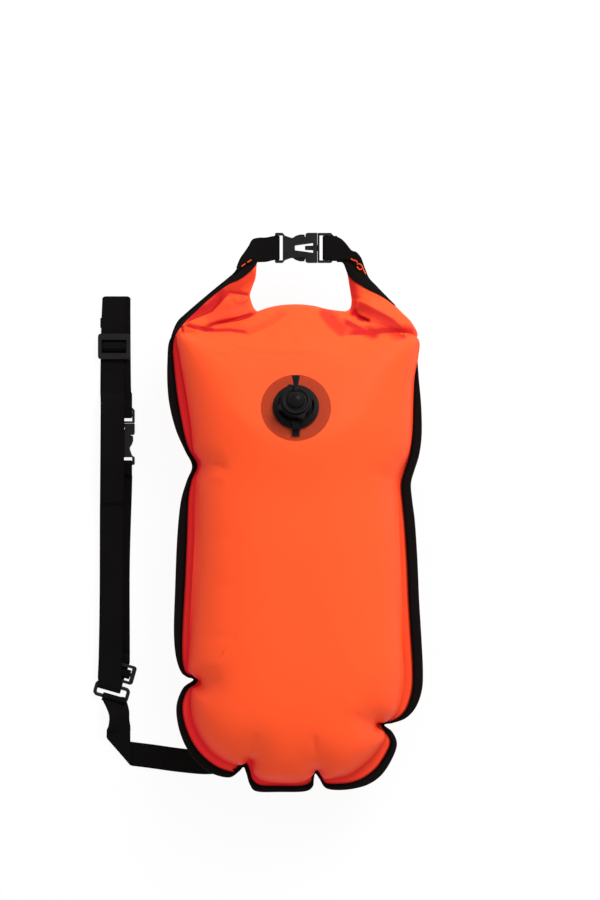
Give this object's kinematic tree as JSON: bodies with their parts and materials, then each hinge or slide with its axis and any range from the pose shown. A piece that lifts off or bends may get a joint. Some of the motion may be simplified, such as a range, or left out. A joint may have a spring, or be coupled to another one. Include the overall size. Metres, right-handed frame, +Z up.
{
  "type": "open water swim buoy",
  "caption": "Inflatable swim buoy with a roll-top dry bag mouth buckled into a carrying handle, an inflation valve and a leash to an adjustable waist belt.",
  "frame": {"origin": "on the floor, on the flat of the back panel under the middle of the body", "axes": "+X to the buoy's right with the valve facing the viewer, +Y towards the handle, +Z up towards the valve; the buoy lies on its back"},
  "size_m": [0.3436, 0.5758, 0.1646],
  "materials": {
    "coated_fabric": "satin film-coated cloth",
    "dry_bag_film": "satin film",
    "black_webbing": "matt weave",
    "black_plastic": "satin moulded plastic",
    "smoky_film": "smoky clear film",
    "black_rubber": "matt rubber"
  },
  "bodies": {
    "buoy": {"front_panel": "coated_fabric", "back_panel": "coated_fabric", "dry_bag_wall": "dry_bag_film", "edge_binding": "black_webbing", "mouth_roll": "coated_fabric", "mouth_end_right": "coated_fabric", "shoulder_tape": "black_webbing", "handle_buckle_female": "black_plastic", "handle_webbing_left": "black_webbing", "handle_webbing_right": "black_webbing", "leash": "black_webbing", "leash_patch": "coated_fabric", "valve_weld_flange": "smoky_film", "valve_base": "black_plastic", "valve_retainer": "black_plastic"},
    "valve_body": {"valve_body": "black_plastic", "valve_flap": "black_rubber", "valve_seal": "black_rubber"},
    "valve_cap": {"valve_cap": "black_plastic", "valve_pull_tab": "black_plastic"},
    "handle_male": {"handle_buckle_male": "black_plastic"},
    "handle_prong_top": {"handle_prong_top": "black_plastic"},
    "handle_prong_bottom": {"handle_prong_bottom": "black_plastic"},
    "leash_ring": {"leash_ring": "black_plastic"},
    "belt": {"belt_webbing": "black_webbing", "belt_buckle_male": "black_plastic", "belt_webbing_short": "black_webbing"},
    "belt_female": {"belt_buckle_female": "black_plastic"},
    "belt_prong_left": {"belt_prong_left": "black_plastic"},
    "belt_prong_right": {"belt_prong_right": "black_plastic"},
    "belt_slider": {"belt_slider": "black_plastic", "belt_slider_webbing": "black_webbing"},
    "belt_keeper": {"belt_keeper": "black_plastic", "belt_keeper_webbing": "black_webbing"}
  },
  "joints": [
    {"name": "valve_body_turn", "type": "hinge", "parent": "buoy", "child": "valve_body", "pos_m": [-0.001, 0.156, 0.1335], "axis": [0, 0.3256, 0.9455], "range_deg": [0, 540]},
    {"name": "valve_cap_lift", "type": "slide", "parent": "valve_body", "child": "valve_cap", "axis": [0, 0.3256, 0.9455], "range_m": [0, 0.01]},
    {"name": "handle_release", "type": "slide", "parent": "buoy", "child": "handle_male", "axis": [1, 0, 0], "range_m": [0, 0.03], "deforming": ["mouth_end_right", "handle_webbing_right", "handle_prong_top", "handle_prong_bottom"]},
    {"name": "handle_prong_top_squeeze", "type": "hinge", "parent": "handle_male", "child": "handle_prong_top", "pos_m": [0.02075, 0.3301, 0.066], "axis": [0, 0, 1], "range_deg": [0, 9], "stiffness_Nm_per_rad": 0.05},
    {"name": "handle_prong_bottom_squeeze", "type": "hinge", "parent": "handle_male", "child": "handle_prong_bottom", "pos_m": [0.02075, 0.3127, 0.066], "axis": [0, 0, -1], "range_deg": [0, 9], "stiffness_Nm_per_rad": 0.05},
    {"name": "leash_ring_swing", "type": "hinge", "parent": "buoy", "child": "leash_ring", "pos_m": [-0.19658, -0.1467, 0.0038], "axis": [0.9613, -0.2756, 0], "range_deg": [0, 60]},
    {"name": "belt_swing", "type": "hinge", "parent": "leash_ring", "child": "belt", "pos_m": [-0.193, -0.1342, 0.0038], "axis": [0.9613, -0.2756, 0], "range_deg": [0, 60]},
    {"name": "belt_release", "type": "slide", "parent": "belt", "child": "belt_female", "axis": [0, -1, 0], "range_m": [0, 0.03], "deforming": ["belt_webbing_short", "belt_prong_left", "belt_prong_right"]},
    {"name": "belt_prong_left_squeeze", "type": "hinge", "parent": "belt", "child": "belt_prong_left", "pos_m": [-0.1946, 0.14105, 0.0048], "axis": [0, 0, 1], "range_deg": [0, 9], "stiffness_Nm_per_rad": 0.05},
    {"name": "belt_prong_right_squeeze", "type": "hinge", "parent": "belt", "child": "belt_prong_right", "pos_m": [-0.1772, 0.14105, 0.0048], "axis": [0, 0, -1], "range_deg": [0, 9], "stiffness_Nm_per_rad": 0.05},
    {"name": "belt_slider_travel", "type": "slide", "parent": "belt", "child": "belt_slider", "axis": [0, 1, 0], "range_m": [-0.029, 0.03]},
    {"name": "belt_keeper_travel", "type": "slide", "parent": "belt", "child": "belt_keeper", "axis": [0, 1, 0], "range_m": [0, 0.05]}
  ],
  "couplings": [
    {"joint": "handle_prong_bottom_squeeze", "follows": "handle_prong_top_squeeze", "ratio": 1},
    {"joint": "belt_prong_right_squeeze", "follows": "belt_prong_left_squeeze", "ratio": 1}
  ]
}
